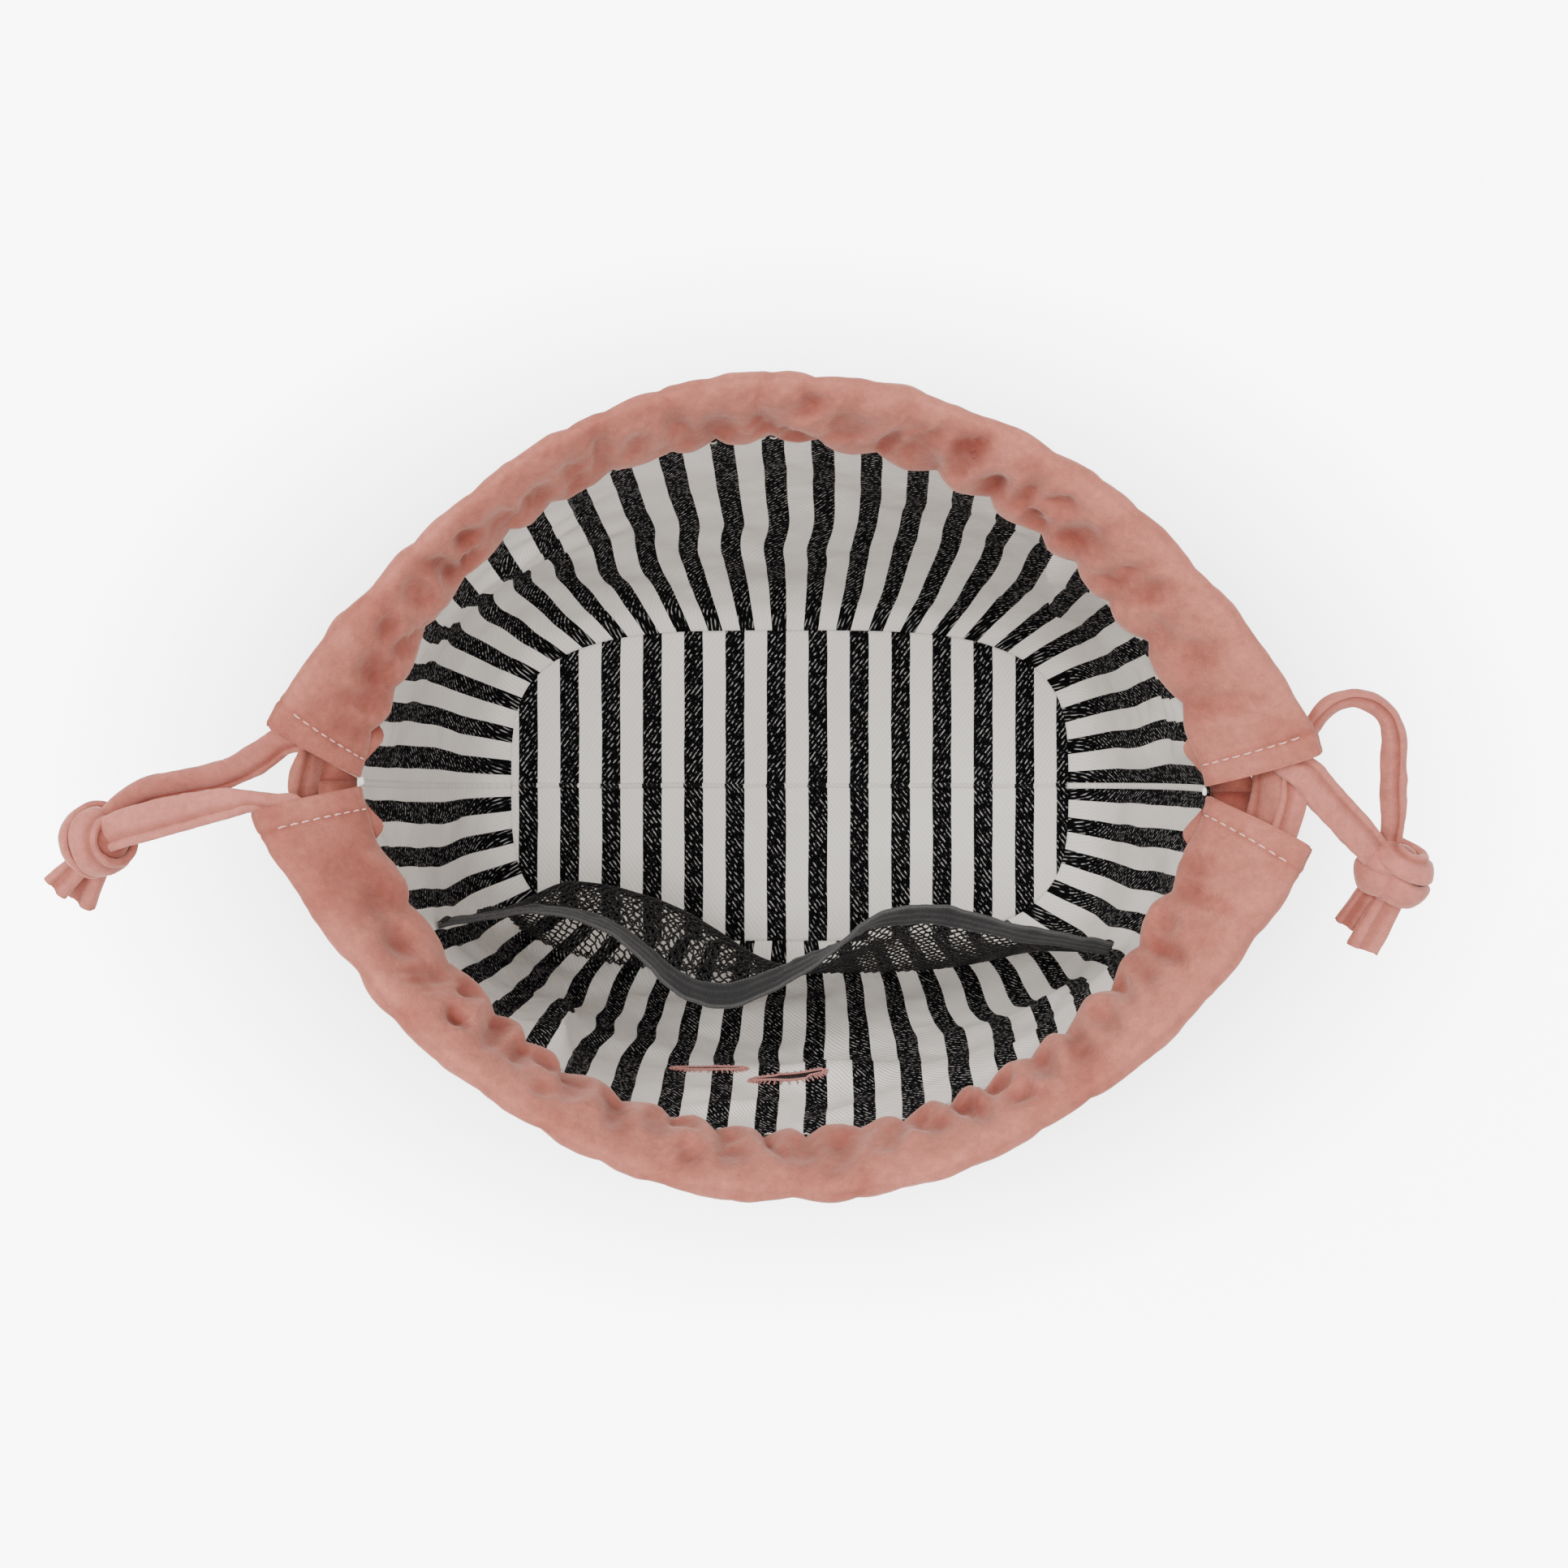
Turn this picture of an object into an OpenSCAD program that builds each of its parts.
// Drawstring cable organizer pouch, standing open on its boxed base.
// Origin: centre of the base's underside. +X to the right seam, +Y to the back wall, +Z up.
// Millimetres. Soft pieces are plain closed solids of the right size and place.

/* [Body] */
// Half width of the base at its lowest edge
base_half_x = 110; // [95:1:120]
// Half depth of the base at its lowest edge
base_half_y = 63; // [50:1:72]
// Half width of the body at its widest height
belly_half_x = 134; // [122:1:138]
// Half depth of the body at its deepest height
belly_half_y = 101; // [90:1:104]
// Half width of the mouth where the wall meets the drawstring channel
mouth_half_x = 121; // [112:1:126]
// Half depth of the mouth where the wall meets the drawstring channel
mouth_half_y = 100.5; // [88:0.5:103]
// Height of the sewn wall, from the underside to the channel
wall_h = 190; // [175:1:205]
// Thickness of the outer suede
outer_t = 1.6; // [1:0.1:2]
// Distance from the outer face to the lining's hidden face
lining_in = 3.0; // [2.8:0.1:3.4]
// Thickness of the lining
lining_t = 0.8; // [0.5:0.1:1]

/* [Drawstring channel] */
// Height of the folded channel, measured along the cloth
channel_h = 30; // [28:1:34]
// Thickness of the channel with the cords in it
channel_t = 9; // [8.5:0.1:11]
// Thickness of the channel's cloth
channel_wall = 1.3; // [0.8:0.1:1.4]
// Half width of the rim at the channel's folded edge
rim_half_x = 145; // [138:1:150]
// Half depth of the rim at the channel's folded edge
rim_half_y = 108.5; // [104:0.5:112]

/* [Drawcords] */
// Width of the flat suede cord
cord_w = 10; // [8:0.5:10]
// Thickness of the flat suede cord
cord_t = 4; // [3:0.1:4.2]
// Ring radius of a knot
knot_r = 5.2; // [4.6:0.1:5.6]
// Tube radius of a knot's turns
knot_tube = 4.3; // [3.8:0.1:4.6]

/* [Mesh pocket] */
// Height of the elastic's centre above the underside
elastic_z = 105; // [98:1:112]
// Width of the elastic
elastic_w = 10.5; // [8:0.5:12]
// Thickness of the elastic
elastic_t = 1.4; // [1:0.1:1.8]
// Thickness of the net
net_t = 0.8; // [0.6:0.1:1]

/* [Stitching] */
// Radius of the thread
thread_r = 0.45; // [0.3:0.05:0.5]
// Spacing of the stitches
stitch_pitch = 4; // [3.5:0.1:5]
// Length of a cable slit's buttonhole stitching
slit_l = 24; // [18:1:28]

/* [Hidden] */

front = -1;
back = 1;
left = -1;
right = 1;
facets = 24;                         // along a panel or channel
lining_face = lining_in + lining_t;  // inset of the lining's visible face
fine_thread_r = 0.35;                // thread of the tacks and slits

suede = [0.78, 0.59, 0.54];
suede_dark = [0.72, 0.5, 0.46];
ecru = [0.87, 0.84, 0.79];
ink = [0.18, 0.18, 0.19];
black = [0.1, 0.1, 0.1];
soft_black = [0.13, 0.13, 0.14];
pink = [0.88, 0.67, 0.63];

function signed_pow(v, power) = sign(v) * pow(abs(v), power);
function mix(a, b, t) = a + (b - a) * t;
function unit(v) = v / norm(v);

// ---- Solids from grids of points ----
function flatten(rows) = [for (row = rows) each row];
function quad(a, b, c, d) = [[a, b, c], [a, c, d]];
// Faces over a grid whose first index is start; closed joins the last column to the first
function grid_faces(rows, cols, closed, start = 0, reverse = false) = [
  for (i = [0:rows - 2]) for (j = [0:cols - (closed ? 1 : 2)])
    let (a = start + i * cols + j, b = start + i * cols + (j + 1) % cols)
      each reverse ? quad(a, b, b + cols, a + cols) : quad(a, a + cols, b + cols, b)];
module solid(points, faces, flip)
  polyhedron(points, flip ? [for (t = faces) [t[2], t[1], t[0]]] : faces);

// Cloth between two grids: a sheet, or an open-ended tube if closed
module shell(face, far_face, closed = false, flip = false) {
  rows = len(face);
  cols = len(face[0]);
  far = rows * cols;
  last = (rows - 1) * cols;
  function rim(a, b) = quad(a, b, b + far, a + far);
  ends = [for (j = [0:cols - (closed ? 1 : 2)]) let (k = (j + 1) % cols)
    each concat(rim(j, k), rim(last + k, last + j))];
  sides = closed ? [] : [for (i = [0:rows - 2]) let (a = i * cols, b = a + cols)
    each concat(rim(b, a), rim(a + cols - 1, b + cols - 1))];
  solid(concat(flatten(face), flatten(far_face)),
    concat(grid_faces(rows, cols, closed), grid_faces(rows, cols, closed, far, true), ends, sides),
    flip);
}

// A solid swept through rings of points, capped at both ends
module loft(rings, flip = false) {
  rows = len(rings);
  cols = len(rings[0]);
  last = (rows - 1) * cols;
  caps = [for (j = [1:cols - 2]) each [[0, j, j + 1], [last, last + j + 1, last + j]]];
  solid(flatten(rings), concat(grid_faces(rows, cols, true), caps), flip);
}

// ---- Stitches ----
stitch_fill = 0.62;  // stitch length as a share of its pitch

// One straight stitch from a to b
module stitch(a, b, r = thread_r) {
  v = b - a;
  translate(a)
    rotate([0, acos(v[2] / norm(v)), atan2(v[1], v[0])])
      cylinder(r = r, h = norm(v), $fn = 16);
}

// Stitches along a polyline
module stitch_line(points) {
  for (i = [0:len(points) - 2]) {
    a = points[i];
    b = points[i + 1];
    count = max(1, floor(norm(b - a) / stitch_pitch));
    for (k = [0:count - 1])
      stitch(mix(a, b, (k + (1 - stitch_fill) / 2) / count),
        mix(a, b, (k + (1 + stitch_fill) / 2) / count));
  }
}

// ---- Outer suede and lining ----
side_gap = 0.9;        // half gap between the two walls at a side seam
base_gap = 0.5;        // half gap between the two half bases
mouth_skew = -0.0125;  // y added per x at the mouth
mouth_shift = -2.4;    // x added at the mouth
edge_flare = 7;        // how far the wall has spread at z = 4
foot_flare = 12;       // how far the wall has spread at z = 12
foot_x = base_half_x + foot_flare;
foot_y = base_half_y + foot_flare;
topstitch_drop = 4;    // below the top of the wall
topstitch_lift = 0.6;  // off the lining's face
// Heights of a panel's points, top to bottom
wall_rows = [wall_h, wall_h - 4, 176, 160, 140, 120, 100, 80, 60, 40, 24, 12, 4];

// Half width and half depth of the wall: [z, size]
function half_x(z) = lookup(z, [
  [0, base_half_x], [4, base_half_x + edge_flare], [12, foot_x],
  [40, mix(foot_x, belly_half_x, 0.58)], [80, belly_half_x - 0.5], [120, belly_half_x],
  [160, mix(belly_half_x, mouth_half_x, 0.42)], [wall_h, mouth_half_x]]);
function half_y(z) = lookup(z, [
  [0, base_half_y], [4, base_half_y + edge_flare], [12, foot_y],
  [40, mix(foot_y, belly_half_y, 0.42)], [80, belly_half_y - 6], [120, belly_half_y - 1],
  [160, belly_half_y], [wall_h, mouth_half_y]]);
// Outline of the wall: y = half_y * (1 - |x / half_x| ^ squareness) ^ pointedness
function squareness(z) =
  lookup(z, [[0, 3.6], [40, 3.0], [100, 2.35], [150, 2.08], [wall_h, 2]]);
function pointedness(z) =
  lookup(z, [[0, 0.28], [40, 0.34], [100, 0.45], [150, 0.55], [wall_h, 0.62]]);
function skew(z) = mouth_skew * pow(z / wall_h, 2);
function shift_x(z) = mouth_shift * pow(z / wall_h, 2);

// A point on the front or back wall; angle runs from 0 at the left seam to 180 at the right
function wall_pt(side, angle, z, inset) = let (
    x = -(half_x(z) - inset) * signed_pow(cos(angle), 2 / squareness(z)),
    y = (half_y(z) - inset) * pow(sin(angle), 2 * pointedness(z)))
  [x + shift_x(z), side * (y + side_gap) + skew(z) * x, z];
// Down the wall, then across the base to its middle
function panel_line(side, angle, inset) = let (edge = wall_pt(side, angle, 0, inset)) concat(
  [for (z = wall_rows) wall_pt(side, angle, z, inset)],
  [for (t = [0, 0.35, 0.7, 1]) [edge[0], mix(edge[1], side * base_gap, t), inset]]);
function panel_grid(side, inset) =
  [for (i = [0:facets]) panel_line(side, 180 * i / facets, inset)];

module panel(side, outer, inner)
  shell(panel_grid(side, outer), panel_grid(side, inner), flip = side < 0);
module outer_front_panel() color(suede) panel(front, 0, outer_t);
module outer_back_panel() color(suede) panel(back, 0, outer_t);
module lining_front_panel() color(ecru) panel(front, lining_in, lining_face);
module lining_back_panel() color(ink) panel(back, lining_in, lining_face);

// Seam strip down one side, in the gap between the front and back walls
side_seam_half = 0.55;
module side_seam(end, outer, inner) {
  corners = [[outer, -1], [inner, -1], [inner, 1], [outer, 1]];
  loft([for (i = [len(wall_rows) - 1:-1:0]) let (z = wall_rows[i]) [for (c = corners)
      [end * (half_x(z) - c[0]) + shift_x(z), c[1] * side_seam_half + skew(z) * end * half_x(z), z]]],
    flip = end > 0);
}
module outer_side_seam_left() color(suede_dark) side_seam(left, 0.1, outer_t);
module outer_side_seam_right() color(suede_dark) side_seam(right, 0.1, outer_t);
module lining_side_seam_left() color(ecru) side_seam(left, lining_in, lining_face);
module lining_side_seam_right() color(ecru) side_seam(right, lining_in, lining_face);

// Straight seam across the middle of the base
bottom_seam_w = 0.7;
module bottom_seam(bottom, top, half_length)
  translate([-half_length, -bottom_seam_w / 2, bottom])
    cube([2 * half_length, bottom_seam_w, top - bottom]);
module outer_bottom_seam() color(suede_dark) bottom_seam(0, outer_t, base_half_x - 4);
module lining_bottom_seam() color(ecru) bottom_seam(lining_in, lining_face, base_half_x - 7);

// Folded seam allowances of the boxed corners, hidden between suede and lining
corner_seam = [8, 2 * (base_half_y - 26), 0.7];
corner_seam_lift = 0.25;  // above the suede
module corner_seams(centre_x)
  for (s = [left, right])
    translate([s * centre_x - corner_seam[0] / 2, -corner_seam[1] / 2, outer_t + corner_seam_lift])
      cube(corner_seam);
module outer_corner_seams() color(suede_dark) corner_seams(base_half_x - 11);
module lining_corner_seams() color(ecru) corner_seams(base_half_x - 21);

// Topstitching of the lining, just under the channel
module topstitch(side)
  stitch_line([for (i = [1:facets - 1])
    wall_pt(side, 180 * i / facets, wall_h - topstitch_drop, lining_face + topstitch_lift)]);
module lining_topstitch_front() color(ecru) topstitch(front);
module lining_topstitch_back() color(ecru) topstitch(back);

// ---- Drawstring channels ----
channel_z = wall_h + 2;  // height of the sewn edge
channel_inset = 1.8;     // of the sewn edge from the mouth's outline
channel_gap = 1.4;       // half gap between front and back sewn edges
rim_power = 1.6;         // shape of the rim's outline
rim_lift = 1;
channel_start = 1.5;     // angle from a seam to the channel's end
channel_span = 180 - 2 * channel_start;
channel_points = 12;     // round the channel's section
// The folded edge starts and ends further from the seam than the sewn edge, so a gap
// shows the cords. Angles from the seam: [front, back]
rim_start_left = [10.1, 17.4];
rim_start_right = [17.8, 12.1];
hem_station = 0.9;       // facets in from the channel's end
hem_lift = 0.75;

function channel_angle(i) = channel_start + channel_span * i / facets;
function sewn_edge(side, angle) = let (
    x = -(mouth_half_x - channel_inset) * cos(angle),
    y = (mouth_half_y - channel_inset) * pow(sin(angle), 2 * pointedness(wall_h)))
  [x + mouth_shift, side * (y + channel_gap) + mouth_skew * x, channel_z];
function rim_angle(side, angle) = let (k = side < 0 ? 0 : 1)
  mix(rim_start_left[k], 180 - rim_start_right[k], (angle - channel_start) / channel_span);
// The folded edge stands as high as the cloth's length allows
function folded_edge(side, angle) = let (
    sewn = sewn_edge(side, angle),
    a = rim_angle(side, angle),
    x = -rim_half_x * cos(a),
    y = side * rim_half_y * pow(sin(a), rim_power),
    reach = norm([x - sewn[0], y - sewn[1]]))
  [x, y, channel_z + sqrt(max(0, channel_h * channel_h - reach * reach)) + rim_lift];
// A point across the channel: t from sewn edge (0) to folded edge (1), height off its middle
function channel_pt(side, angle, t, height) = let (
    sewn = sewn_edge(side, angle),
    folded = folded_edge(side, angle),
    along = unit(folded - sewn),
    level = unit([folded[0] - sewn[0], folded[1] - sewn[1], 0]),
    normal = [-level[0] * along[2], -level[1] * along[2], norm([along[0], along[1]])])
  mix(sewn, folded, t) + normal * height;
function channel_rings(side, inset) =
  [for (i = [0:facets]) [for (k = [0:channel_points - 1]) let (a = 360 * k / channel_points)
    channel_pt(side, channel_angle(i), 0.5 - (0.5 - inset / channel_h) * cos(a),
      (channel_t / 2 - inset) * signed_pow(sin(a), 0.8))]];

module casing(side)
  shell(channel_rings(side, 0), channel_rings(side, channel_wall), closed = true, flip = side < 0);
module front_casing() color(suede) casing(front);
module back_casing() color(suede) casing(back);

// Topstitched hems at both ends of a channel, on its upper face
module hems(side) {
  height = channel_t / 2 + hem_lift;
  for (station = [hem_station, facets - hem_station]) {
    angle = channel_angle(station);
    for (i = [2:8])
      stitch(channel_pt(side, angle, (i - 0.3) / 10, height),
        channel_pt(side, angle, (i + 0.3) / 10, height));
  }
}
module front_casing_hem_stitches() color(pink) hems(front);
module back_casing_hem_stitches() color(pink) hems(back);

// ---- Drawcords inside the channels ----
turn_bulge = 3.4;  // how far a turn bulges away from the mouth

// Rounded rectangular section of a cord
function strap_ring(centre, across, normal, width, thickness) =
  [for (k = [0:7]) let (a = 360 * k / 8 + 22.5) centre
    + across * (width / 2 * signed_pow(cos(a), 0.6))
    + normal * (thickness / 2 * signed_pow(sin(a), 0.6))];
function run_ring(side, angle, t) = let (centre = channel_pt(side, angle, t, 0))
  strap_ring(centre, unit(channel_pt(side, angle, t + 0.01, 0) - centre),
    channel_pt(side, angle, t, 1) - centre, cord_w, cord_t);
// The turn across a gap, from the front channel to the back one
function turn_rings(angle, t) = let (
    a = run_ring(front, angle, t),
    b = run_ring(back, angle, t),
    outward = angle > 90 ? 1 : -1)
  [for (u = [0.15:0.14:0.86]) [for (k = [0:7])
    mix(a[k], b[k], u) + [outward * turn_bulge * sin(180 * u), 0, 0]]];

// A cord through both channels, turning across the gap opposite its exit
module drawcord_run(exit_left, t) {
  angles = [for (i = [0:facets]) channel_angle(exit_left ? i : facets - i)];
  loft(concat(
      [for (angle = angles) run_ring(front, angle, t)],
      turn_rings(angles[facets], t),
      [for (i = [facets:-1:0]) run_ring(back, angles[i], t)]),
    flip = exit_left);
}
module left_drawcord_run() color(suede_dark) drawcord_run(exit_left = true, t = 0.69);
module right_drawcord_run() color(suede_dark) drawcord_run(exit_left = false, t = 0.29);

// ---- Cords outside the channels ----
path_steps = 4;  // smoothed points per path segment
left_knot_centre = [-192.5, -15, 191];
right_knot_centre = [166.5, -23.2, 191];

// Catmull-Rom curve through the path's points
function smooth_path(path) = let (last = len(path) - 1) concat(
  [for (i = [0:last - 1]) for (k = [0:path_steps - 1]) let (
      t = k / path_steps,
      a = path[max(0, i - 1)],
      b = path[i],
      c = path[i + 1],
      d = path[min(last, i + 2)])
    0.5 * (2 * b + (c - a) * t + (2 * a - 5 * b + 4 * c - d) * t * t
      + (3 * b - a - 3 * c + d) * t * t * t)],
  [path[last]]);
function xyz(p) = [p[0], p[1], p[2]];
function cord_ring(path, i, width, thickness) = let (
    ahead = unit(xyz(path[min(len(path) - 1, i + 1)] - path[max(0, i - 1)])),
    level = unit(cross([0, 0, 1], ahead)),
    up = cross(ahead, level),
    roll = path[i][3])
  strap_ring(xyz(path[i]), level * cos(roll) + up * sin(roll),
    up * cos(roll) - level * sin(roll), width, thickness);

// A flat cord along a path of [x, y, z, roll]
module cord(path, width = cord_w, thickness = cord_t) {
  curve = smooth_path(path);
  loft([for (i = [0:len(curve) - 1]) cord_ring(curve, i, width, thickness)], flip = true);
}

// Each loop has a back leg, then a front leg
module left_drawcord_loop() color(suede) {
  cord([[-142.5, 14.5, 203, 8], [-155, 9.5, 202, 14], [-171, 3.5, 199, 25],
    [-184.5, -3, 195.5, 38]]);
  cord([[-146, -7.5, 202, -6], [-158, -10, 200, -8], [-170, -12, 197, -10],
    [-180.4, -13, 194, -14]], width = 9.6);
}
module right_drawcord_loop() color(suede) {
  cord([[144, 18.5, 205, 30], [148, 24, 208, 55], [154, 27, 209, 78], [161, 24.5, 208, 88],
    [165.5, 16, 206, 88], [167, 6, 203, 84], [167, -4, 198.5, 76], [166.8, -9.8, 196, 72]],
    width = 8.4, thickness = 3.6);
  cord([[144, 0, 200, 10], [149, -4.5, 199, 14], [153.5, -9, 197, 18],
    [157.6, -14, 194.8, 22]], width = 9);
}

// A knot: three turns of cord around each other
module knot(centre, lean)
  translate(centre) rotate([0, 0, lean])
    for (tilt = [[0, 12, 0], [64, 0, 20], [-58, 0, -24]])
      rotate(tilt)
        rotate_extrude($fn = 48) translate([knot_r, 0]) circle(r = knot_tube, $fn = 24);
module left_knot() color(suede) knot(left_knot_centre, lean = 18);
module right_knot() color(suede) knot(right_knot_centre, lean = -32);

// Below each knot: the upper end, then the lower one
module cord_ends(upper, lower) {
  cord(upper, width = 8.4, thickness = 3.4);
  cord(lower, width = 8, thickness = 3.2);
}
module left_cord_ends() color(suede_dark) cord_ends(
  [[-202, -22, 190, 14], [-205, -24, 189, 10], [-208, -26, 188, 6], [-211, -28, 187, 4]],
  [[-199.2, -25.8, 183.5, -4], [-201, -28.8, 182, -3], [-202.8, -31.8, 180.5, -2],
    [-204.6, -34.8, 179, -2]]);
module right_cord_ends() color(suede_dark) cord_ends(
  [[165.4, -35.2, 188, 14], [165, -40, 186.4, 12], [164, -45, 184.8, 8], [162.6, -50, 183, 4]],
  [[158.2, -33.2, 182.5, -4], [156.4, -35.8, 181, -4], [154.2, -38.4, 179.8, -2],
    [152, -41.2, 178.6, -2]]);

// ---- Mesh pocket on the front lining ----
pocket_left = -112;
pocket_right = 106;
pocket_facets = 26;
net_foot_z = 16;       // where the net leaves the lining
net_foot_scale = 0.93; // width of the net's foot against its mouth
net_clearance = 3.2;   // from the lining
billow_depth = 9;
net_rows = [elastic_z - 5.6, 88, 74, 60, 46, 32, 22, 12];
tack_pitch = 1.7;
tack_slant = 0.5;      // half rise of a tack's stitch
// The pocket's mouth in plan: [x, y]
pocket_mouth = [
  [pocket_left, -52], [-96, -45], [-73, -43], [-50, -49], [-28, -63], [-10, -71],
  [8, -66], [26, -50], [44, -41], [62, -44], [84, -51], [pocket_right, -58]];

// Y of the front lining's visible face
function lining_y(x, z) = let (
    half_w = half_x(z) - lining_face,
    half_d = half_y(z) - lining_face,
    share = min(0.999, abs(x - shift_x(z)) / half_w))
  -half_d * pow(max(0, 1 - pow(share, squareness(z))), pointedness(z)) + skew(z) * x;
// A point on the net; x is measured at the mouth. The net never passes through the lining
function net_pt(x, z, offset = 0) = let (
    t = max(0, min(1, (z - net_foot_z) / (elastic_z - net_foot_z))),
    net_x = x * mix(net_foot_scale, 1, t),
    nearest = lining_y(net_x, z) + net_clearance,
    foot = lining_y(x * net_foot_scale, net_foot_z) + net_clearance,
    billow = billow_depth * sin(180 * t) * (0.55 - 0.45 * min(1, max(-1, x / 60))),
    free = mix(foot, lookup(x, pocket_mouth), pow(t, 1.2)) + billow)
  [net_x, max(nearest, free) + offset, z];
function pocket_x(i) = mix(pocket_left, pocket_right, i / pocket_facets);
function net_grid(offset) =
  [for (i = [0:pocket_facets]) [for (z = net_rows) net_pt(pocket_x(i), z, offset)]];
function elastic_pt(i) = net_pt(pocket_x(i), elastic_z);

module pocket_mesh() color(black) shell(net_grid(net_t), net_grid(0));
module pocket_elastic() color(soft_black)
  loft([for (i = [0:pocket_facets])
      [for (c = [[0, -1], [elastic_t, -1], [elastic_t, 1], [0, 1]])
        elastic_pt(i) + [0, c[0] - 0.3, c[1] * (elastic_w / 2 - 0.1)]]],
    flip = true);

// Bar tacks that hold the elastic's ends to the lining: [end facet, its neighbour]
module pocket_elastic_tacks() color(black)
  for (ends = [[0, 1], [pocket_facets, pocket_facets - 1]]) {
    lift = [0, elastic_t + 0.35, 0];
    a = elastic_pt(ends[0]) + lift;
    b = elastic_pt(ends[1]) + lift;
    for (k = [-2:2])
      stitch(mix(a, b, 0.2) + [0, 0, k * tack_pitch - tack_slant],
        mix(a, b, 0.7) + [0, 0, k * tack_pitch + tack_slant], fine_thread_r);
  }

// ---- Buttonhole stitching round the two cable slits in the front lining ----
slit_steps = 10;
slit_lift = 1.9;         // off the lining
slit_reach = [0.9, 2.6]; // a stitch's near and far ends from the slit
slit_slant = 0.5;        // half of a stitch's run along the slit
module slit_stitching(x, z, lean)
  translate([x, lining_y(x, z) + slit_lift, z]) rotate([0, lean, 0])
    for (s = [-1, 1]) for (k = [0:slit_steps]) {
      along = mix(-slit_l / 2, slit_l / 2, k / slit_steps);
      stitch([along - slit_slant, 0, s * slit_reach[0]],
        [along + slit_slant, 0, s * slit_reach[1]], fine_thread_r);
    }
module cable_slit_stitching_upper() color(pink) slit_stitching(x = -26, z = 118, lean = 3);
module cable_slit_stitching_lower() color(pink) slit_stitching(x = -1, z = 128, lean = -6);

outer_front_panel();
outer_back_panel();
outer_side_seam_left();
outer_side_seam_right();
outer_bottom_seam();
outer_corner_seams();
lining_front_panel();
lining_back_panel();
lining_side_seam_left();
lining_side_seam_right();
lining_bottom_seam();
lining_corner_seams();
lining_topstitch_front();
lining_topstitch_back();
front_casing();
back_casing();
front_casing_hem_stitches();
back_casing_hem_stitches();
left_drawcord_run();
right_drawcord_run();
left_drawcord_loop();
right_drawcord_loop();
left_knot();
right_knot();
left_cord_ends();
right_cord_ends();
pocket_mesh();
pocket_elastic();
pocket_elastic_tacks();
cable_slit_stitching_upper();
cable_slit_stitching_lower();
